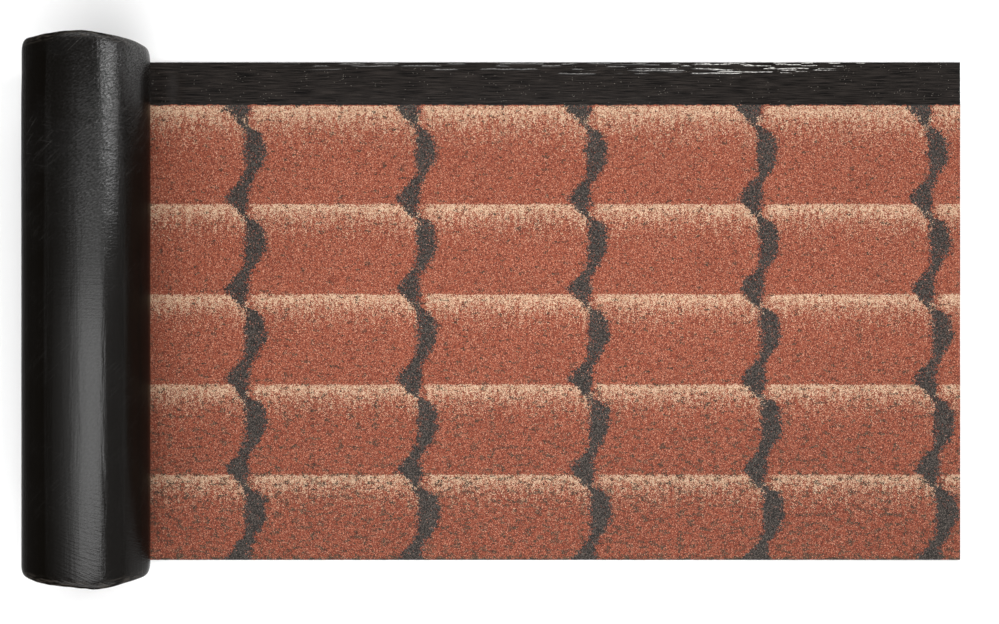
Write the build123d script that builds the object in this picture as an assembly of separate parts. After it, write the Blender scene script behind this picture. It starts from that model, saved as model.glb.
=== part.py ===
from build123d import *
from math import asin, atan2, cos, degrees, hypot, radians, sin
import os

# A roll of mineral-faced roofing felt, lying with its first length unrolled flat.
# Millimetres. X runs along the sheet, Y across it, Z up; the floor is at Z = 0.
# The origin is in the middle of the footprint. The sheet is wound film side out, so that
# its granules face up on the unrolled length and face the bore inside the roll.

# The sheet
sheet_width = 1000.0        # edge to edge
sheet_thickness = 4.2       # over the granules
selvedge_width = 86.0       # bare strip along the +Y edge, left free for the next sheet's lap
granule_depth = 0.8         # the bare strip lies lower by this
flat_length = 1710.0        # unrolled length, from below the roll's axis to the cut end

# The winding
bore_radius = 47.5          # hole through the roll
turns = 16                  # whole turns between the floor and the bore
turn_pitch = 4.1            # the granules bed slightly into the back of the next turn
contact_length = 12.0       # the roll's weight closes the gap over the flat length this far
inner_end_angle = 250.0     # where the sheet's inner end lies in the bore, from +X towards +Z
inner_ramp_angle = 72.0     # the next turn climbs over the inner end within this angle

# The gap between two turns, as it shows on both ends of the roll
gap_width = 0.9
gap_depth = 3.0
gap_overrun = 1.5           # it opens this far into the hollow in front of the sheet's inner end

turns = max(2, round(turns))
roll_radius = bore_radius + (turns + 0.5) * turn_pitch
left_centre = roll_radius                       # height of the centre of every half turn on the -X side
right_centre = roll_radius + turn_pitch / 2     # and of every half turn on the +X side
bore_centre = right_centre
half_width = sheet_width / 2
axis_x = (roll_radius - flat_length) / 2        # puts the origin in the middle of the footprint


def left_radius(turn):
    """Radius of the half turn on the -X side, on the back of the sheet; turn 0 is the outermost."""
    return roll_radius - turn * turn_pitch


def right_radius(turn):
    """Radius of the half turn on the +X side, which closes in by one pitch at the floor."""
    return roll_radius - (turn + 0.5) * turn_pitch


def polar(height, radius, angle):
    """Point at an angle about a centre on the upright line through the roll's axis."""
    return (radius * cos(radians(angle)), height + radius * sin(radians(angle)))


def inner_end():
    """The inner end of the sheet: its point on the back, and that point's polar place about the bore."""
    x, z = polar(left_centre, left_radius(turns), inner_end_angle)
    angle = degrees(atan2(z - bore_centre, x)) % 360
    return (x, z), hypot(x, z - bore_centre), angle


def section_outline():
    """Flat length, outer turn and the line where the roll comes down on the flat length."""
    radius = right_radius(0)
    stop = degrees(asin(contact_length / radius)) - 90
    touch = polar(right_centre, radius, stop)
    foot = (touch[0], min(sheet_thickness, touch[1] - 0.05))
    edges = [
        Line((flat_length, 0), (0, 0)),
        CenterArc((0, left_centre), left_radius(0), 270, -180),
        CenterArc((0, right_centre), radius, 90, stop - 90),
        Line(touch, foot),
        Line(foot, (flat_length, foot[1])),
        Line((flat_length, foot[1]), (flat_length, 0)),
    ]
    return make_face(edges)


def bore_outline():
    """Round bore with the step of the sheet's inner end and the ramp by which the next turn climbs over it."""
    tip, reach, angle = inner_end()
    foot = polar(bore_centre, bore_radius, angle)
    start = angle - inner_ramp_angle
    shift = (reach**2 - bore_radius**2) / (2 * (bore_radius - reach * cos(radians(inner_ramp_angle))))
    ramp_radius = bore_radius + shift
    ramp_x, ramp_z = polar(bore_centre, -shift, start)
    tip_angle = degrees(atan2(tip[1] - ramp_z, tip[0] - ramp_x))
    sweep = (tip_angle - start) % 360
    edges = [
        CenterArc((0, bore_centre), bore_radius, angle, 360 - inner_ramp_angle),
        CenterArc((ramp_x, ramp_z), ramp_radius, start, sweep),
        Line(tip, foot),
    ]
    return make_face(edges)


def gap_side(offset):
    """One side of the gap between the turns, from the flat length inwards to the sheet's inner end."""
    reach = contact_length + 2.0
    edges = [Line((reach, turn_pitch - offset), (0, turn_pitch - offset))]
    for turn in range(1, turns):
        edges.append(CenterArc((0, left_centre), left_radius(turn) + offset, 270, -180))
        edges.append(CenterArc((0, right_centre), right_radius(turn) + offset, 90, -180))
    stop = inner_end_angle - degrees(gap_overrun / left_radius(turns))
    edges.append(CenterArc((0, left_centre), left_radius(turns) + offset, 270, stop - 270))
    return edges


def gap_outline():
    """Spiral band between the turns."""
    outer, inner = gap_side(gap_width / 2), gap_side(-gap_width / 2)
    ends = [Line(outer[0] @ 0, inner[0] @ 0), Line(outer[-1] @ 1, inner[-1] @ 1)]
    return make_face(outer + inner + ends)


def on_end(sketch, y, amount):
    """A drawing in X and Z set at one end of the roll and extruded by an amount towards -Y."""
    return extrude(Plane.XZ.offset(-y) * sketch, amount)


def build():
    section = section_outline() - bore_outline()
    felt = extrude(Plane.XZ * section, half_width, both=True)

    # bare strip: the flat length loses its granules there, right up to the roll
    strip_x = (contact_length + flat_length + 10) / 2
    strip = Pos(strip_x, half_width - selvedge_width / 2 + 5, sheet_thickness - granule_depth + 5)
    felt -= strip * Box(flat_length + 10 - contact_length, selvedge_width + 10, 10)

    # the turns on both ends
    felt -= on_end(gap_outline(), half_width + 1, gap_depth + 1)
    felt -= on_end(gap_outline(), -half_width + gap_depth, gap_depth + 1)
    return Pos(axis_x, 0, 0) * felt


os.makedirs("parts", exist_ok=True)
roofing_felt = build()
export_step(roofing_felt, "parts/roofing_felt.step")
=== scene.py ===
import math
from functools import partial
import bpy
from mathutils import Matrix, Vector, noise


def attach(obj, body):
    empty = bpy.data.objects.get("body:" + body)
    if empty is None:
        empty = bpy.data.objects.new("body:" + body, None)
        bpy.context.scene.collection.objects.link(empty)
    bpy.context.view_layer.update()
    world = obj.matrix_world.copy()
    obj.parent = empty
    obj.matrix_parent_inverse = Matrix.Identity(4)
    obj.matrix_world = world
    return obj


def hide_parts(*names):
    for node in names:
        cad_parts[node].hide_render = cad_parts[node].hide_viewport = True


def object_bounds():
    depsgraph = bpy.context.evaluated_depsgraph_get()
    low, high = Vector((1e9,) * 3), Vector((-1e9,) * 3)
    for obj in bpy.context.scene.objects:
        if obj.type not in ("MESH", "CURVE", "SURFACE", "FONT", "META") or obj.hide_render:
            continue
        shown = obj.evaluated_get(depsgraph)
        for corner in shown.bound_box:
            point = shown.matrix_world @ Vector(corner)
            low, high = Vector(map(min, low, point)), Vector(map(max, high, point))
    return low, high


# A roll of mineral-faced roofing felt, its first length unrolled flat, seen from straight above.
# Metres. The flat length runs along X to the cut end at +X, the roll lies along Y at the -X end,
# and the bare lap strip is the +Y edge. The roll and the flat length are one sheet, made as two
# meshes because the roll needs its facets round the turns and the flat length along its wrinkles.

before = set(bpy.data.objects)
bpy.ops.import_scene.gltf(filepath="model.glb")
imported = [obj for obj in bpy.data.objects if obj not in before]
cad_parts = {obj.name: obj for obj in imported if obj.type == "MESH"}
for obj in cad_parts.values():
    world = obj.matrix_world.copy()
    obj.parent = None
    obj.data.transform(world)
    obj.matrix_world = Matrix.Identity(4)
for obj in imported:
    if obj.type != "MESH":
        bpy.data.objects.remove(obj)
cad_low, cad_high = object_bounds()
NODE = "roofing_felt"

# Sizes of the sheet and its winding
HALF_WIDTH = 0.5
SHEET = 0.0042              # thickness over the granules
GRANULES = 0.0008           # of which the granules are
STRIP = 0.0855              # bare strip along the +Y edge
STRIP_LINE = HALF_WIDTH - STRIP
BRINK = 0.0006              # slope from the granules down to the bare strip
CUT_ROUNDING = 0.0007       # of the flat length's edges
CUT_ROUGHNESS = 0.0003      # how far its edges waver
WRINKLE = 0.00004           # fine wrinkles of the bare strip
BORE_RADIUS = 0.0475
TURNS = 16
PITCH = 0.0041              # from one turn to the next
WOUND_SHEET = 0.0040        # the granules are pressed in where the sheet is wound
WOUND_ROUNDING = 0.0011     # of the wound sheet's edges
LAST_ARC = 20.0             # degrees that the sheet goes on past its last whole turn
HALF_TURN_STEPS = 36        # facets round each half turn
ROLL_RADIUS = BORE_RADIUS + (TURNS + 0.5) * PITCH
FLAT_LENGTH = cad_high.x - cad_low.x - ROLL_RADIUS
AXIS_X = cad_high.x - FLAT_LENGTH
AXIS_Z = ROLL_RADIUS + PITCH / 4

# The roll's ends: the outer turns are drawn in at the rims and stand out unevenly
RIM_REACH = 0.020
RIM_DROP = 0.0075
END_REACH = 0.09            # along the roll, over which an end stands out
TURN_EDGE = 0.0007          # each turn ends a little further in or out than the next
TURN_SET_BACK = 0.0006
END_WAVE = 0.0012           # and neighbouring turns waver together
STRIP_DROP = 0.0006         # the bare strip has no granules, so the roll is slimmer there
SWELL = 0.0011              # the outer turns lie a little loose
FLATS = 0.0006              # slight flats and swells of the wound sheet

# How far each end of the roll stands out, in millimetres, by the angle from +X over the top
FAR_END = [(-90, 0), (-30, 0), (5, 4), (27, 6.3), (50, 7.2), (74, 9.2), (87, 7), (108, 3.2),
           (125, 1), (142, 2.5), (170, 1), (200, 0), (270, 0)]
NEAR_END = [(-90, 0), (-30, 0), (5, 4), (18, 3.2), (30, 3.4), (52, 7), (62, 7.5), (74, 3), (87, -1),
            (101, -3.5), (116, -6), (130, -8.5), (145, -9.5), (170, -8), (200, -3), (230, 0), (270, 0)]

# Folds along the bare strip: metres from the edge, X where each starts and stops, and how broken it is,
# from about -0.5 for whole to 0.5 for missing
FOLDS = [(0.0026, -0.60, 0.70, -0.05), (0.0046, 0.10, 0.60, -0.02), (0.0075, -0.60, 0.62, 0.08),
         (0.0110, 0.05, 0.62, 0.05), (0.0134, -0.50, 0.60, -0.02), (0.0158, 0.05, 0.60, 0.02),
         (0.0190, 0.20, 0.55, 0.0), (0.0222, -0.20, 0.52, -0.02), (0.0835, 0.15, 0.45, 0.05)]
FOLD_HEIGHT = 0.0004
FOLD_HALF_WIDTH = 0.0010
FOLD_SWAY = 0.0016          # over about 100 mm
FOLD_WIGGLE = 0.0012        # over about 20 mm
LOW_FOLDS = 0.66            # share of the height towards the roll


# Modelling helpers

def deselect():
    """Deselects every object."""
    bpy.ops.object.select_all(action="DESELECT")


def pick(piece, kind, wanted):
    """In edit mode, selects only the vertices, edges or faces that wanted(element) names."""
    bpy.ops.mesh.select_all(action="DESELECT")
    bpy.ops.mesh.select_mode(type=kind)
    bpy.ops.object.mode_set(mode="OBJECT")
    mesh = piece.data
    for element in {"VERT": mesh.vertices, "EDGE": mesh.edges, "FACE": mesh.polygons}[kind]:
        element.select = wanted(element)
    bpy.ops.object.mode_set(mode="EDIT")


def cut_across(places):
    """In edit mode, cuts the whole mesh at these places along Y."""
    for y in places:
        bpy.ops.mesh.select_all(action="SELECT")
        bpy.ops.mesh.bisect(plane_co=(0, y, 0), plane_no=(0, 1, 0))


def finish_mesh(piece, smooth, unrolled):
    """Merges doubles, turns the faces outwards, shades smooth up to an angle in degrees and lays the
    sheet's own UVs, which unrolled(place) gives in metres."""
    bpy.ops.mesh.select_mode(type="VERT")
    bpy.ops.mesh.select_all(action="SELECT")
    bpy.ops.mesh.remove_doubles(threshold=0.00002)
    bpy.ops.mesh.select_all(action="SELECT")
    bpy.ops.mesh.normals_make_consistent(inside=False)
    bpy.ops.object.mode_set(mode="OBJECT")
    bpy.ops.object.shade_smooth_by_angle(angle=math.radians(smooth))
    mesh = piece.data
    while mesh.uv_layers:
        mesh.uv_layers.remove(mesh.uv_layers[0])
    layer = mesh.uv_layers.new(name="unrolled")
    flat = [unrolled(vertex.co) for vertex in mesh.vertices]
    for loop in mesh.loops:
        layer.uv[loop.index].vector = flat[loop.vertex_index]


def give(piece, materials, surface_of):
    """Gives each face the material that surface_of(face) names."""
    names = list(materials)
    for name in names:
        piece.data.materials.append(materials[name])
    for face in piece.data.polygons:
        face.material_index = names.index(surface_of(face))


def eased(value, low, high):
    """0 below low, 1 above high and smooth between."""
    t = min(1.0, max(0.0, (value - low) / (high - low)))
    return t * t * (3 - 2 * t)


def from_table(table, angle):
    """Value at an angle in degrees, eased between the table's entries."""
    for (a, va), (b, vb) in zip(table, table[1:]):
        if a <= angle <= b:
            return va + (vb - va) * eased(angle, a, b)
    return table[0][1]


# The roll

def sheet_section():
    """Outline of the sheet, cut across below the roll's axis: film below, granules above, rounded edges."""
    deselect()
    bpy.ops.mesh.primitive_plane_add(size=1, location=(AXIS_X, 0, WOUND_SHEET / 2),
                                     rotation=(0, math.pi / 2, 0))
    section = bpy.context.object
    section.scale = (WOUND_SHEET, 2 * HALF_WIDTH, 1)
    bpy.ops.object.transform_apply(location=True, rotation=True, scale=True)
    bpy.ops.object.mode_set(mode="EDIT")
    pick(section, "VERT", lambda vertex: True)
    bpy.ops.mesh.bevel(offset=WOUND_ROUNDING, segments=3, affect="VERTICES")
    rims = [HALF_WIDTH - inward for inward in (0.0024, 0.004, 0.006, 0.0085, 0.0115, 0.015, RIM_REACH)]
    middle = [-0.46, -0.4, -0.3, -0.2, -0.1, 0.0, 0.1, 0.2, 0.3, 0.38, 0.402, STRIP_LINE,
              STRIP_LINE + 0.0008, 0.437]
    cut_across(sorted(rims + [-y for y in rims] + middle))
    pick(section, "VERT", lambda v: v.co.z > 0.7 * WOUND_SHEET and v.co.y > STRIP_LINE + 0.0004)
    bpy.ops.transform.translate(value=(0, 0, -GRANULES))
    bpy.ops.object.mode_set(mode="OBJECT")
    return section


def arc_of_sheet(section, raised, centre_z, degrees):
    """The section, raised to its turn and spun about a line along Y. It goes up on the -X side by
    positive degrees, and on the +X side by negative ones."""
    deselect()
    arc = section.copy()
    arc.data = section.data.copy()
    bpy.context.collection.objects.link(arc)
    arc.select_set(True)
    bpy.context.view_layer.objects.active = arc
    bpy.ops.object.mode_set(mode="EDIT")
    bpy.ops.mesh.select_all(action="SELECT")
    bpy.ops.transform.translate(value=(0, 0, raised))
    steps = math.ceil(abs(degrees) / 180 * HALF_TURN_STEPS)
    bpy.ops.mesh.spin(steps=steps, angle=math.radians(-degrees), center=(AXIS_X, 0, centre_z), axis=(0, 1, 0))
    bpy.ops.object.mode_set(mode="OBJECT")
    return arc


def wound_roll():
    """The sheet wound film side out: half turns about two centres that lie half a pitch apart, so that
    each turn ends one pitch inside the last."""
    section = sheet_section()
    arcs = []
    for turn in range(TURNS):
        arcs.append(arc_of_sheet(section, turn * PITCH, ROLL_RADIUS, 180))
        arcs.append(arc_of_sheet(section, (turn + 1) * PITCH, ROLL_RADIUS + PITCH / 2, -180))
    arcs.append(arc_of_sheet(section, TURNS * PITCH, ROLL_RADIUS, LAST_ARC))
    bpy.data.objects.remove(section)
    deselect()
    for arc in arcs:
        arc.select_set(True)
    bpy.context.view_layer.objects.active = arcs[0]
    bpy.ops.object.join()
    roll = bpy.context.object
    roll.name = roll.data.name = "wound_roll"
    mesh = roll.data
    bpy.ops.object.mode_set(mode="EDIT")
    # the sections between the half turns go, and the two ends of the sheet are closed
    pick(roll, "FACE", lambda face: all(abs(mesh.vertices[i].co.x - AXIS_X) < 1e-5 for i in face.vertices))
    bpy.ops.mesh.delete(type="FACE")
    bpy.ops.mesh.select_mode(type="EDGE")
    bpy.ops.mesh.select_all(action="SELECT")
    bpy.ops.mesh.remove_doubles(threshold=0.00002)
    bpy.ops.mesh.select_all(action="DESELECT")
    bpy.ops.mesh.select_non_manifold(extend=False, use_wire=False, use_multi_face=False,
                                     use_non_contiguous=False, use_verts=False)
    bpy.ops.mesh.fill()
    finish_mesh(roll, 38, lambda co: (AXIS_X - wound_length(winding(co)), co.y))
    return roll


def place_in_winding(co):
    """How many pitches inside the outer turn's film side a point lies, and its way round from the
    bottom, over the -X side, as a share of a turn."""
    left = co.x <= AXIS_X
    centre = ROLL_RADIUS if left else ROLL_RADIUS + PITCH / 2
    across, down = co.x - AXIS_X, centre - co.z
    # a hair more, so that a point on a film side counts to its own turn
    pitches = (ROLL_RADIUS - math.hypot(across, down)) / PITCH - (0 if left else 0.5) + 0.01
    swing = math.atan2(abs(across), down) / (2 * math.pi)
    return pitches, swing if left else 1 - swing


def winding(co):
    """How many turns in from the flat length a point of the winding lies."""
    pitches, swing = place_in_winding(co)
    return math.floor(pitches) + swing


def height_in_sheet(co):
    """How far a point of the winding lies from the film side, as a share of the pitch."""
    return place_in_winding(co)[0] % 1


def wound_length(turns):
    """Length of sheet wound up between the flat length and this many turns in."""
    halves = math.floor(2 * turns + 1e-9)
    done = sum(ROLL_RADIUS - 0.5 * i * PITCH for i in range(halves)) * math.pi
    return done + (2 * turns - halves) * math.pi * (ROLL_RADIUS - 0.5 * halves * PITCH)


def roll_surface(mesh):
    """Names the material of each face of the roll, before the roll is settled."""
    def surface_of(face):
        corners = [mesh.vertices[i].co for i in face.vertices]
        heights = [height_in_sheet(co) for co in corners]
        if max(heights) < 0.05:
            return "film"
        if min(heights) > 0.9:
            return "granules"
        if max(heights) - min(heights) < 0.05 and min(co.y for co in corners) > STRIP_LINE:
            return "strip"
        return "cut"
    return surface_of


def settled(co, turns):
    """A point of the winding, drawn in at the rims, with the ends standing out unevenly."""
    dx, dz = co.x - AXIS_X, co.z - AXIS_Z
    radius = max(1e-6, math.hypot(dx, dz))
    angle = (math.degrees(math.atan2(dz, dx)) + 90) % 360 - 90
    outness = min(1.0, max(0.0, (radius - BORE_RADIUS) / (ROLL_RADIUS - BORE_RADIUS)))
    side = math.copysign(1, co.y)
    # the rims are drawn in round, most of all on top
    rim = min(1.0, max(0.0, 1 - (HALF_WIDTH - abs(co.y)) / RIM_REACH))
    drop = RIM_DROP * (1 - math.sqrt(1 - rim * rim)) * outness ** 1.5
    drop *= 0.55 + 0.45 * max(0.0, dz / radius)
    drop += STRIP_DROP * eased(co.y, STRIP_LINE - 0.012, STRIP_LINE + 0.022) * outness
    drop += FLATS * noise.noise(Vector((angle / 40, co.y * 5, 3.1))) * outness - SWELL * outness ** 2
    # at the floor the sheet keeps its place
    lifted = eased(min(abs(angle + 90), abs(270 - angle)), 4, 50)
    k = 1 - drop * lifted / radius
    # the outer turns stand out at the ends, each by a little more or less than the next
    stand = from_table(FAR_END if side > 0 else NEAR_END, angle) / 1000
    stand *= outness ** 2 if stand > 0 else eased(outness, 0.0, 0.5)
    stand *= eased(abs(co.y), HALF_WIDTH - END_REACH, HALF_WIDTH)
    uneven = TURN_EDGE * noise.noise(Vector((turns * 7, 5.5 * side, math.floor(turns) * 3.7)))
    uneven += END_WAVE * noise.noise(Vector((turns * 0.9, 2.2 * side, 1.7))) - TURN_SET_BACK
    return AXIS_X + dx * k, co.y + side * (stand + uneven * rim), AXIS_Z + dz * k


# The flat length

def fold(x, y):
    """Share of its full height that a fold of the bare strip's edge has reached here."""
    from_edge = HALF_WIDTH - y
    height = 0.0
    for number, (line, start, stop, broken) in enumerate(FOLDS):
        sway = FOLD_SWAY * noise.noise(Vector((x * 9, number * 5.1, 7.7)))
        sway += FOLD_WIGGLE * noise.noise(Vector((x * 45, number * 3.3, 2.4)))
        within = eased(x, start, start + 0.25) * (1 - eased(x, stop, stop + 0.15))
        present = eased(noise.noise(Vector((x * 24, number * 9.7, 4.4))), broken, broken + 0.18)
        off = (from_edge - line - sway) / FOLD_HALF_WIDTH
        height = max(height, present * within * math.exp(-off * off))
    return height * (LOW_FOLDS + (1 - LOW_FOLDS) * eased(x, 0.20, 0.50))


def flat_length():
    """The unrolled sheet: granules up, with the lower bare strip along its +Y edge."""
    low_top = SHEET - GRANULES
    deselect()
    bpy.ops.mesh.primitive_cube_add(size=1, location=((AXIS_X + cad_high.x) / 2, 0, SHEET / 2))
    sheet = bpy.context.object
    sheet.name = sheet.data.name = "flat_length"
    sheet.scale = (FLAT_LENGTH, 2 * HALF_WIDTH, SHEET)
    bpy.ops.object.transform_apply(location=True, rotation=True, scale=True)
    mesh = sheet.data
    bpy.ops.object.mode_set(mode="EDIT")
    cut_across([STRIP_LINE, STRIP_LINE + BRINK])
    pick(sheet, "FACE", lambda face: face.normal.z > 0.9 and face.center.y > STRIP_LINE + 0.001)
    bpy.ops.transform.translate(value=(0, 0, -GRANULES))
    # the cut edges are a little rounded
    pick(sheet, "EDGE", lambda edge: is_outer(mesh, edge))
    bpy.ops.mesh.bevel(offset=CUT_ROUNDING, segments=2, affect="EDGES")
    # facets for the wrinkles, close together near the edge
    fine = [HALF_WIDTH - 0.0012 - 0.0006 * i for i in range(46)]
    coarse = [STRIP_LINE + 0.006 * i for i in range(1, 10)]
    wide = [-0.45 + 0.1 * i for i in range(9)]
    cut_across(fine + coarse + wide)
    # subdivide makes 100 cuts at most, so it runs twice
    for cuts in (100, 3):
        pick(sheet, "EDGE", lambda edge: lies_along(mesh, edge))
        bpy.ops.mesh.subdivide(number_cuts=cuts)
    finish_mesh(sheet, 20, lambda co: (co.x, co.y))
    # the folds' height stays on the vertices, and the strip's material paints glints along their crests from
    # it
    folded = mesh.attributes.new("folded", "FLOAT", "POINT").data
    margin = CUT_ROUNDING + 0.0001
    for vertex in mesh.vertices:
        x, y, z = vertex.co
        if y > STRIP_LINE + 0.001 and abs(z - low_top) < 0.00001:
            height = fold(x, y)
            folded[vertex.index].value = height
            vertex.co.z += FOLD_HEIGHT * height + WRINKLE * noise.noise(Vector((x * 14, y * 260, 0.3)))
        elif abs(y) > HALF_WIDTH - margin:
            vertex.co.y += CUT_ROUGHNESS * noise.noise(Vector((x * 180, y * 9, z * 700)))
        if x > cad_high.x - margin:
            vertex.co.x += CUT_ROUGHNESS * noise.noise(Vector((y * 180, 3.3, z * 700)))
    return sheet


def is_outer(mesh, edge):
    """True for the level edges at the cut end and along the two sides, above and below."""
    a, b = (mesh.vertices[i].co for i in edge.vertices)
    level = abs(a.z - b.z) < 1e-5
    at_end = min(a.x, b.x) > cad_high.x - 1e-5
    at_side = min(a.y, b.y) > HALF_WIDTH - 1e-5 or max(a.y, b.y) < 1e-5 - HALF_WIDTH
    return level and (at_end or at_side)


def lies_along(mesh, edge):
    """True for the long edges that run along X."""
    a, b = (mesh.vertices[i].co for i in edge.vertices)
    return abs(a.x - b.x) > 0.01


def flat_surface(face):
    """Names the material of a face of the flat length."""
    x, y, z = face.center
    if face.normal.z < -0.7:
        return "film"
    if face.normal.z > 0.35 or (z > SHEET - GRANULES and abs(y - STRIP_LINE) < 0.001):
        return "strip" if y > STRIP_LINE + 0.0004 else "granules"
    return "cut"


# Colours and nodes

def hex_colour(text):
    """A colour written as sRGB hex, as Blender's linear values."""
    values = [int(text[i:i + 2], 16) / 255 for i in (1, 3, 5)]
    return [v / 12.92 if v <= 0.04045 else ((v + 0.055) / 1.055) ** 2.4 for v in values] + [1.0]


def shown(sockets):
    """The sockets that a node shows with its present settings."""
    return [socket for socket in sockets if socket.enabled]


def add(tree, kind, inputs=(), stops=(), points=(), **settings):
    """Adds a node with its settings. Inputs are nodes or sockets to link, or values, by order or by name;
    stops are those of a colour ramp, and points those of a curve."""
    made = tree.nodes.new("ShaderNode" + kind)
    for name, value in settings.items():
        setattr(made, name, value)
    sockets = shown(made.inputs)
    for name, value in (inputs.items() if isinstance(inputs, dict) else enumerate(inputs)):
        socket = made.inputs[name] if isinstance(name, str) else sockets[name]
        if isinstance(value, bpy.types.Node):
            value = shown(value.outputs)[0]
        if isinstance(value, bpy.types.NodeSocket):
            tree.links.new(value, socket)
        else:
            socket.default_value = value
    for number, (place, colour) in enumerate(stops):
        if number > 1:
            made.color_ramp.elements.new(1.0)
        made.color_ramp.elements[number].position = place
        made.color_ramp.elements[number].color = hex_colour(colour)
    for number, place in enumerate(points):
        line = made.mapping.curves[0].points
        if number > 1:
            line.new(1.0, 1.0)
        line[number].location = place
        line[number].handle_type = "VECTOR"
    return made


def new_material(name):
    """An empty node material, and the call that adds nodes to it."""
    material = bpy.data.materials.new(name)
    material.use_nodes = True
    material.node_tree.nodes.clear()
    return material, partial(add, material.node_tree)


SMOOTH = {"interpolation_type": "SMOOTHSTEP"}
ON_SHEET = {"noise_dimensions": "2D"}


def drawn_out(put, sheet, length, width, turned=0.0, detail=2.0):
    """Noise in patches of this length and width in metres, turned on the sheet."""
    place = put("Mapping", {"Vector": sheet, "Rotation": (0, 0, turned), "Scale": (length, width, 1)},
                vector_type="TEXTURE")
    return put("TexNoise", [place, 1.0, detail, 0.6], **ON_SHEET)


# The tile pattern, in millimetres as printed on the sheet; its noises have scales of one over a size
TILE = 342.5                # from joint to joint
COURSE = 181.1              # from one course line to the next
FIRST_JOINT = -522.4        # X of the first joint
FIRST_LINE = 396.4          # Y of the first course line
GRANULE = 1.15              # real ones are 0.5 to 1.5 mm
SPREAD = 60.0               # a drawn joint edge runs from -SPREAD to SPREAD over 0 to 1

# A joint's left and right edge down one course, as (share of the course, millimetres from the joint line)
JOINT_LEFT = [(0, -31), (0.044, -25), (0.089, -18), (0.128, -12), (0.165, -5), (0.2, -2.5), (0.3, -2),
              (0.58, -2.5), (0.667, -3.5), (0.71, -7), (0.756, -14), (0.8, -20), (0.844, -29),
              (0.889, -35), (0.933, -41), (0.965, -40), (1, -33)]
JOINT_RIGHT = [(0, 5), (0.044, 3), (0.1, 2), (0.135, 4), (0.168, 12), (0.19, 24), (0.25, 34), (0.3, 38.5),
               (0.48, 40), (0.55, 36), (0.61, 29), (0.667, 22), (0.74, 14), (0.8, 7), (1, 6)]


def tile_place(put, place):
    """Millimetres right of the nearest joint line, down from the course line and down the sheet."""
    along, down, _ = put("SeparateXYZ", [place]).outputs
    # the joints lean a little towards the lower courses, and nothing is printed quite straight
    lean = put("Math", [down, 1.62e-5, 1.0], operation="MULTIPLY_ADD")
    straight = put("Math", [along, lean], operation="DIVIDE")
    coarse = put("TexNoise", [place, 1 / 30, 2.0], **ON_SHEET)
    ragged = put("TexNoise", [place, 1 / 6, 2.0], **ON_SHEET)
    swayed = put("Math", [coarse, 14.0, TILE / 2 - 19.0], operation="MULTIPLY_ADD")
    swayed = put("Math", [ragged, 24.0, swayed], operation="MULTIPLY_ADD")
    beside = put("Math", [put("Math", [straight, swayed], operation="ADD"), TILE], operation="FLOORED_MODULO")
    beside = put("Math", [beside, TILE / 2], operation="SUBTRACT")
    wavy = put("TexNoise", [place, 1 / 22, 2.0], **ON_SHEET)
    dip = put("Math", [wavy, 5.0, -2.5], operation="MULTIPLY_ADD")
    below = put("Math", [put("Math", [down, dip], operation="ADD"), COURSE], operation="FLOORED_MODULO")
    return beside, below, down


def joint_share(put, place, beside, below):
    """Share of dark granules that the joints give."""
    share = put("Math", [below, COURSE], operation="DIVIDE")
    edges = []
    for table in (JOINT_LEFT, JOINT_RIGHT):
        drawn = put("FloatCurve", [1.0, share], points=[(x, 0.5 + y / (2 * SPREAD)) for x, y in table])
        edges.append(put("Math", [drawn, 2 * SPREAD, -SPREAD], operation="MULTIPLY_ADD"))
    past_left = put("Math", [edges[0], beside], operation="SUBTRACT")
    past_right = put("Math", [beside, edges[1]], operation="SUBTRACT")
    outside = put("Math", [past_left, past_right], operation="MAXIMUM")
    # the two colours mix over 3.5 to 11 mm on each side of the edge
    patchy = put("TexNoise", [place, 1 / 16, 2.0], **ON_SHEET)
    mixing = put("MapRange", [patchy, 0.35, 0.65, 3.5, 11.0], **SMOOTH)
    inside = put("Math", [outside, mixing], operation="DIVIDE")
    return put("MapRange", [inside, 1.0, -1.0, 0.0, 0.945], **SMOOTH)


def stray_share(put, place, down, lower):
    """Share of dark granules scattered over the tiles, single ones and flat clusters, more of them
    where the sheet is lower in the picture."""
    flat = put("Mapping", {"Vector": place, "Scale": (0.5, 1.0, 1.0)})
    clusters = put("TexNoise", [flat, 1 / 9, 3.0], **ON_SHEET)
    needed = put("Math", [lower, -0.1, 0.632], operation="MULTIPLY_ADD")
    over = put("Math", [clusters, needed], operation="SUBTRACT")
    clustered = put("MapRange", [over, 0.0, 0.05, 0.0, 0.55], **SMOOTH)
    single = put("Math", [lower, 0.035, 0.004], operation="MULTIPLY_ADD")
    # the -Y edge of the sheet ends in the next row of joints
    edge = put("MapRange", [down, 884.0, 896.0, 0.0, 0.45], **SMOOTH)
    strays = put("Math", [clustered, single], operation="ADD")
    return put("Math", [strays, edge], operation="ADD")


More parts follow.
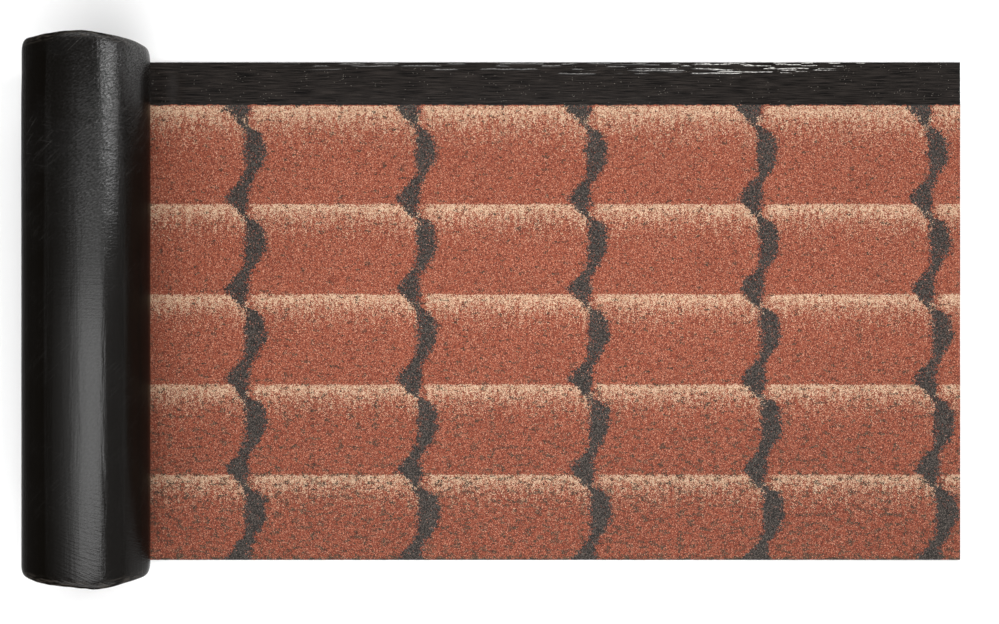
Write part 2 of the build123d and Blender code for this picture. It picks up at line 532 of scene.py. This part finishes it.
def pale_share(put, place, beside, below, down):
    """Share of pale granules: the head of each tile, fading down in fingers, its right corner rounded."""
    corner = put("MapRange", [beside, -34.0, -4.0, 0.0, 15.0], **SMOOTH)
    on_left = put("Math", [beside, 6.0], operation="LESS_THAN")
    first = put("Math", [down, 120.0], operation="LESS_THAN")
    from_strip = put("Math", [down, 0.85, 14.0], operation="MULTIPLY_ADD")
    head = put("Mix", [first, below, from_strip])
    head = put("Math", [head, put("Math", [corner, on_left], operation="MULTIPLY")], operation="SUBTRACT")
    # fingers about 14 mm apart
    along = put("SeparateXYZ", [place]).outputs[0]
    drift = put("TexNoise", [place, 1 / 34, 2.0], **ON_SHEET)
    phase = put("Math", [along, 2 * math.pi / 14, put("Math", [drift, 9.0], operation="MULTIPLY")],
                operation="MULTIPLY_ADD")
    comb = put("Math", [put("Math", [phase], operation="SINE"), 0.5, 0.5], operation="MULTIPLY_ADD")
    tall = put("Mapping", {"Vector": place, "Scale": (1.0, 0.3, 1.0)})
    streaks = put("MapRange", [put("TexNoise", [tall, 1 / 11, 3.0], **ON_SHEET), 0.32, 0.68], **SMOOTH)
    fingers = put("Mix", [0.45, streaks, comb])
    reach = put("Math", [fingers, 0.7, 0.62], operation="MULTIPLY_ADD")
    faded = put("Math", [put("Math", [head, reach], operation="DIVIDE"), 80.0], operation="DIVIDE")
    fading = [(0, 0.0), (0.02, 0.66), (0.12, 0.74), (0.22, 0.55), (0.36, 0.33), (0.55, 0.13), (0.8, 0.03),
              (1, 0.0)]
    share = put("FloatCurve", [1.0, faded], points=fading)
    patchy = put("TexNoise", [place, 1 / 7, 2.0], **ON_SHEET)
    patches = put("Math", [patchy, 1.9, -0.2], operation="MULTIPLY_ADD")
    patches = put("Math", [fingers, 0.35, patches], operation="MULTIPLY_ADD")
    past_joint = put("MapRange", [beside, 6.0, 24.0], **SMOOTH)
    past_joint = put("Math", [on_left, past_joint], operation="MAXIMUM")
    share = put("Math", [share, patches], operation="MULTIPLY")
    return put("Math", [share, past_joint, 0.012], operation="MULTIPLY_ADD")


def granule_faced():
    """Crushed slate, coloured by ceramic coating and rolled into hot bitumen.

    Each granule is one flat colour and stands proud of its neighbours, so that the face is matt and rough,
    and every edge of the printed tiles is ragged by whole granules.
    """
    material, put = new_material("slate granules in tile colours")
    on_sheet = put("Mapping", {"Vector": put("UVMap", uv_map="unrolled"), "Scale": (1000, -1000, 1),
                               "Location": (-FIRST_JOINT, FIRST_LINE, 0)})
    granules = put("TexVoronoi", [on_sheet, 1 / GRANULE], voronoi_dimensions="2D")
    kind, tone, third = put("SeparateColor", [granules.outputs["Color"]]).outputs
    place = granules.outputs["Position"]
    beside, below, down = tile_place(put, place)
    lower = put("MapRange", [down, 330.0, 860.0], **SMOOTH)
    strays = stray_share(put, place, down, lower)
    joint = joint_share(put, place, beside, below)
    dark_share = put("Math", [joint, strays], operation="ADD")
    is_dark = put("Math", [kind, dark_share], operation="LESS_THAN")
    is_pale = put("Math", [third, pale_share(put, place, beside, below, down)], operation="LESS_THAN")

    # colours of single granules, the tiles a little uneven in brightness; the darkening down the sheet is in
    # part painted shade, for the light that falls off towards -Y, and in part the sheet's own tone
    uneven = put("TexNoise", [place, 1 / 90, 2.0], **ON_SHEET)
    shade = put("Math", [uneven, 0.16, 0.92], operation="MULTIPLY_ADD")
    # in part painted shade: the tiles darken towards -Y, where the light falls off
    shade = put("Math", [lower, -0.145, shade], operation="MULTIPLY_ADD")
    red = put("ValToRGB", [tone], stops=[(0, "#3a2019"), (0.14, "#5f2b1f"), (0.5, "#85402d"),
                                         (0.85, "#a25b42"), (1, "#c9967f")])
    pale = put("ValToRGB", [tone], stops=[(0, "#966c54"), (0.4, "#b99578"), (1, "#dcc1a6")])
    dark = put("ValToRGB", [tone], stops=[(0, "#151211"), (0.6, "#2e2a27"), (1, "#665d56")])
    stray = put("ValToRGB", [tone], stops=[(0, "#221a15"), (0.6, "#46382d"), (1, "#6d5a48")])
    dark = put("Mix", [put("Math", [joint, 0.2], operation="GREATER_THAN"), stray, dark], data_type="RGBA")
    tile = put("Mix", [is_pale, red, pale], data_type="RGBA")
    tile = put("Mix", [1.0, tile, shade], data_type="RGBA", blend_type="MULTIPLY")
    colour = put("Mix", [is_dark, tile, dark], data_type="RGBA")

    # bare bitumen where the granules end at the lap strip
    ragged = put("TexNoise", [place, 1 / 12, 2.0], **ON_SHEET)
    brink = put("Math", [ragged, 6.0, FIRST_LINE - 1000 * STRIP_LINE - 2.0], operation="MULTIPLY_ADD")
    is_bare = put("Math", [down, brink], operation="LESS_THAN")
    colour = put("Mix", [is_bare, colour, hex_colour("#1d1a18")], data_type="RGBA")

    # every granule is a small chip, some higher than others
    height = put("Math", [granules.outputs["Distance"], -1.0, 1.0], operation="MULTIPLY_ADD")
    height = put("Math", [tone, 0.5, height], operation="MULTIPLY_ADD")
    bump = put("Bump", {"Strength": 0.55, "Distance": 0.0006, "Height": height})
    shader = put("BsdfPrincipled", {"Base Color": colour, "Roughness": 0.88, "Specular IOR Level": 0.25,
                                    "Normal": bump})
    put("OutputMaterial", {"Surface": shader})
    return material


# Scratches in the film: length and width in metres, turn on the sheet, least noise to show, and weight
SCRATCHES = [(0.090, 0.0008, -0.72, 0.752, 0.8), (0.060, 0.0008, 0.2, 0.77, 0.4),
             (0.012, 0.0010, -0.62, 0.70, 0.12)]


def film_at(angle):
    """Place along the unrolled sheet, on the outermost turn at this angle from +X over the top."""
    return AXIS_X - wound_length((270 - angle) / 360)


def back_film():
    """Thin burn-off film of black polythene on the back of the sheet, drawn tight when it is wound.

    It is smooth and half glossy, so that lamps show as soft bands along the roll, broken by scuffs and
    scratches.
    """
    material, put = new_material("black burn-off film")
    sheet = put("UVMap", uv_map="unrolled")
    along, across, _ = put("SeparateXYZ", [sheet]).outputs
    patches = partial(drawn_out, put, sheet)

    # the +Y half of the roll was dragged about, and is scuffed
    scuffed = put("MapRange", [across, 0.02, 0.30], **SMOOTH)
    worn = put("MapRange", [patches(0.14, 0.10, -0.3), 0.40, 0.62], **SMOOTH)
    worn = put("Math", [worn, put("Math", [scuffed, 0.75, 0.25], operation="MULTIPLY_ADD")],
               operation="MULTIPLY")
    mottle = patches(0.0042, 0.0018, -0.6, 4.0)

    # straight thin scratches in two directions and short fine ones between them
    scratches = 0.0
    for length, width, turned, least, weight in SCRATCHES:
        mark = put("Math", [patches(length, width, turned, 1.0), least], operation="GREATER_THAN")
        scratches = put("Math", [mark, weight, scratches], operation="MULTIPLY_ADD")
    marks = put("Math", [scratches, worn], operation="MULTIPLY", use_clamp=True)
    haze = put("Math", [worn, mottle], operation="MULTIPLY")
    base = put("Mix", [haze, hex_colour("#0b0907"), hex_colour("#100f0e")], data_type="RGBA")
    colour = put("Mix", [marks, base, hex_colour("#4b4947")], data_type="RGBA")
    # dust rubbed into the rims
    rim = put("MapRange", [put("Math", [across], operation="ABSOLUTE"), 0.480, 0.494], **SMOOTH)
    rubbed = put("MapRange", [patches(0.02, 0.004, 0.0, 3.0), 0.42, 0.66, 0.0, 0.45], **SMOOTH)
    dusty = put("Math", [rim, rubbed], operation="MULTIPLY")
    colour = put("Mix", [dusty, colour, hex_colour("#453f39")], data_type="RGBA")

    # the gloss fades where the film turns away, but for a stretch low on the +X side, most at the +Y end
    rough = put("MapRange", [mottle, 0.3, 0.7, 0.15, 0.23])
    rough = put("Math", [scuffed, 0.04, rough], operation="MULTIPLY_ADD")
    facing = put("LayerWeight", {"Blend": 0.5}).outputs["Facing"]
    fading = put("MapRange", [facing, 0.05, 0.26, 0.5, 0.002])
    stretch = put("MapRange", [along, film_at(52), film_at(34), 0.0, 0.5])
    at_end = put("MapRange", [across, 0.36, 0.46, 0.2, 1.0])
    above = put("MapRange", [along, film_at(24), film_at(2), 1.0, 0.2])
    kept = put("Math", [put("Math", [stretch, at_end], operation="MULTIPLY"), above], operation="MULTIPLY")
    gloss = put("Math", [fading, kept], operation="MAXIMUM")
    # and it is broken by fine scuffs, most of them on the +Y half
    specks = put("MapRange", [patches(0.0048, 0.0028, -0.6), 0.36, 0.64, -0.5, 0.5])
    broken = put("Math", [scuffed, 0.8, 0.2], operation="MULTIPLY_ADD")
    specks = put("Math", [specks, broken, 1.0], operation="MULTIPLY_ADD")
    gloss = put("Math", [gloss, specks], operation="MULTIPLY")

    # dents and slight flats along the roll, ripples round it, creases near the -Y end and fine grain
    dented = put("Math", [scuffed, 1.4, 0.4], operation="MULTIPLY_ADD")
    flats = put("Math", [patches(0.05, 0.035, 0.4, 1.0), dented, patches(0.010, 0.12)],
                operation="MULTIPLY_ADD")
    ripples = patches(0.05, 0.004, 0.0, 3.0)
    creased = put("MapRange", [across, -0.20, -0.36, 0.0, 3.0], **SMOOTH)
    creases = put("Math", [patches(0.035, 0.0035, 0.35, 3.0), creased, ripples], operation="MULTIPLY_ADD")
    low = put("Bump", {"Strength": 0.7, "Distance": 0.0005, "Height": flats})
    mid = put("Bump", {"Strength": 0.5, "Distance": 0.0003, "Height": creases, "Normal": low})
    rubbed_in = put("Math", [scuffed, 1.0, 0.35], operation="MULTIPLY_ADD")
    grain = put("Math", [patches(0.006, 0.003, -0.6, 3.0), rubbed_in], operation="MULTIPLY")
    fine = put("Bump", {"Strength": 0.8, "Distance": 0.0004, "Height": grain, "Normal": mid})
    shader = put("BsdfPrincipled", {"Base Color": colour, "Roughness": rough, "Specular IOR Level": gloss,
                                    "Normal": fine})
    put("OutputMaterial", {"Surface": shader})
    return material


def bare_bitumen():
    """Bitumen left bare for the lap, rolled smooth while hot under a thin film.

    It is near black and glossy like wet tar. The film has wrinkled along the edge, and its folds carry
    painted glints, thin white lines along their crests; the rest has fine streaks and a little dust.
    """
    material, put = new_material("bare bitumen of the lap strip")
    sheet = put("UVMap", uv_map="unrolled")
    patches = partial(drawn_out, put, sheet)

    # painted glints: the fold crests are painted white, broken here and there
    glint_breaks = put("MapRange", [patches(0.007, 0.0012), 0.42, 0.56, 0.15, 1.0], **SMOOTH)
    folded = put("Attribute", attribute_name="folded").outputs["Fac"]
    crest = put("MapRange", [folded, 0.5, 0.8], **SMOOTH)
    painted_glints = put("Math", [crest, glint_breaks], operation="MULTIPLY")

    streaks = patches(0.055, 0.0016, detail=3.0)
    tone = put("ValToRGB", [streaks], stops=[(0.34, "#060505"), (0.66, "#302b28")])
    # specks of dust, drawn 1 mm across so that they show
    dots = put("TexVoronoi", [sheet, 450.0], voronoi_dimensions="2D")
    dot = put("Math", [dots.outputs["Distance"], 0.22], operation="LESS_THAN")
    dusty = put("MapRange", [patches(0.05, 0.03), 0.45, 0.7, 0.0, 0.045])
    few = put("Math", [put("SeparateColor", [dots.outputs["Color"]]), dusty], operation="LESS_THAN")
    dust = put("Math", [dot, few], operation="MULTIPLY")
    colour = put("Mix", [dust, tone, hex_colour("#8b857c")], data_type="RGBA")
    # painted glints along the fold crests
    colour = put("Mix", [painted_glints, colour, hex_colour("#dcd9d4")], data_type="RGBA")
    fine = put("Bump", {"Strength": 0.25, "Distance": 0.0002, "Height": streaks})
    shader = put("BsdfPrincipled", {"Base Color": colour, "Roughness": 0.11, "IOR": 1.7,
                                    "Specular IOR Level": 0.8, "Normal": fine})
    put("OutputMaterial", {"Surface": shader})
    return material


def cut_bitumen():
    """Bitumen and fleece where the sheet is cut: dull, dark and slightly fibrous."""
    material, put = new_material("cut bitumen edge")
    fibres = put("TexNoise", {"Vector": put("TexCoord").outputs["Object"], "Scale": 900.0, "Detail": 3.0})
    tone = put("ValToRGB", [fibres], stops=[(0.3, "#141211"), (0.7, "#2e2a27")])
    bump = put("Bump", {"Strength": 0.6, "Distance": 0.0005, "Height": fibres})
    shader = put("BsdfPrincipled", {"Base Color": tone, "Roughness": 0.62, "Specular IOR Level": 0.3,
                                    "Normal": bump})
    put("OutputMaterial", {"Surface": shader})
    return material


FELT = {"granules": granule_faced(), "film": back_film(), "strip": bare_bitumen(), "cut": cut_bitumen()}

roll = wound_roll()
give(roll, FELT, roll_surface(roll.data))
for vertex in roll.data.vertices:
    vertex.co = settled(vertex.co, winding(vertex.co))
flat = flat_length()
give(flat, FELT, flat_surface)

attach(roll, "root")
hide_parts(NODE)
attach(flat, "root")
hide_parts(NODE)


# Floor, light and camera

def plain_floor():
    """A pale even floor that runs out of every view."""
    deselect()
    bpy.ops.mesh.primitive_plane_add(size=40, location=(0, 0, -0.0002))
    floor = bpy.context.object
    floor.name = "floor"
    material, put = new_material("matt white floor")
    shader = put("BsdfPrincipled", {"Base Color": hex_colour("#fcfcfc"), "Roughness": 0.9,
                                    "Specular IOR Level": 0.1})
    put("OutputMaterial", {"Surface": shader})
    floor.data.materials.append(material)


# Overhead lamps beside each other: X from and to, and radiance
OVERHEAD = [(-0.36, 0.70, 3.05), (-0.66, -0.36, 2.7), (-0.95, -0.66, 1.3), (-1.35, -0.95, 0.55),
            (-2.0, -1.35, 0.3)]
# Each of them in two lengths: name, Y from and to, and share of the radiance
LENGTHS = [("overhead", -0.95, 0.05, 1.0), ("overhead_far", 0.05, 0.60, 0.38)]
LAMP_HEIGHT = 1.5

# Lamps far off on the +X side, turned to the +Y half of the roll: name, place, size and watts
SIDE_AIM = (-0.7, 0.3, 0.2)
SIDE_LAMPS = [("side", (3.8, 1.65, 2.6), (0.8, 2.3), 31), ("side_far", (3.8, 1.82, 2.6), (0.6, 2.3), 52)]


def soft_box(name, place, aim, size, power):
    """A soft box at a place, turned to an aim, of a size in metres and a power in watts."""
    data = bpy.data.lights.new(name, "AREA")
    data.shape = "RECTANGLE"
    data.size, data.size_y = size
    data.energy = power
    lamp = bpy.data.objects.new(name, data)
    bpy.context.collection.objects.link(lamp)
    lamp.location = place
    lamp.rotation_euler = (Vector(aim) - Vector(place)).to_track_quat("-Z", "Y").to_euler()


def overhead_lamp(name, x0, x1, y0, y1, radiance):
    """A soft box overhead, from x0 to x1 and y0 to y1, with its power from its area and radiance."""
    x, y = (x0 + x1) / 2, (y0 + y1) / 2
    size = (x1 - x0, y1 - y0)
    soft_box(name, (x, y, LAMP_HEIGHT), (x, y, 0), size, radiance * math.pi * size[0] * size[1])


def studio_world():
    """Pale walls all round, bright behind the roll and beyond both its ends, under a dark ceiling."""
    world = bpy.data.worlds.new("pale studio")
    world.use_nodes = True
    world.node_tree.nodes.clear()
    put = partial(add, world.node_tree)
    x, y, z = put("SeparateXYZ", [put("TexCoord").outputs["Generated"]]).outputs
    wall = put("MapRange", [z, 0.0, 0.75, 0.42, 0.04])
    ends = put("Math", [y], operation="ABSOLUTE")
    behind = put("Math", [x, -0.66], operation="MULTIPLY")
    outward = put("Math", [ends, behind], operation="MAXIMUM")
    bright = put("MapRange", [outward, 0.5, 0.75, 0.0, 2.85], **SMOOTH)
    shade = put("Math", [wall, bright], operation="ADD")
    put("OutputWorld", {"Surface": put("Background", {"Color": (1, 1, 1, 1), "Strength": shade})})
    bpy.context.scene.world = world


plain_floor()
for x0, x1, radiance in OVERHEAD:
    for name, y0, y1, share in LENGTHS:
        overhead_lamp(name, x0, x1, y0, y1, share * radiance)
for name, place, size, power in SIDE_LAMPS:
    soft_box(name, place, SIDE_AIM, size, power)
studio_world()

# The photo looks straight down. Its frame is 999 by 624, and the sheet lies 497 pixels to the metre.
FRAME_WIDTH = 999
PIXELS_PER_METRE = 497.0
CUT_END = 460.0                 # pixels from the middle of the picture to the cut end
CAMERA_HEIGHT = 2.17
CAMERA_Y = -0.002
camera_data = bpy.data.cameras.new("camera")
camera_data.sensor_width = 36.0
camera_data.lens = camera_data.sensor_width * PIXELS_PER_METRE * CAMERA_HEIGHT / FRAME_WIDTH
camera = bpy.data.objects.new("camera", camera_data)
bpy.context.collection.objects.link(camera)
camera.location = (cad_high.x - CUT_END / PIXELS_PER_METRE, CAMERA_Y, CAMERA_HEIGHT)
bpy.context.scene.camera = camera
bpy.context.scene.view_settings.view_transform = "Standard"
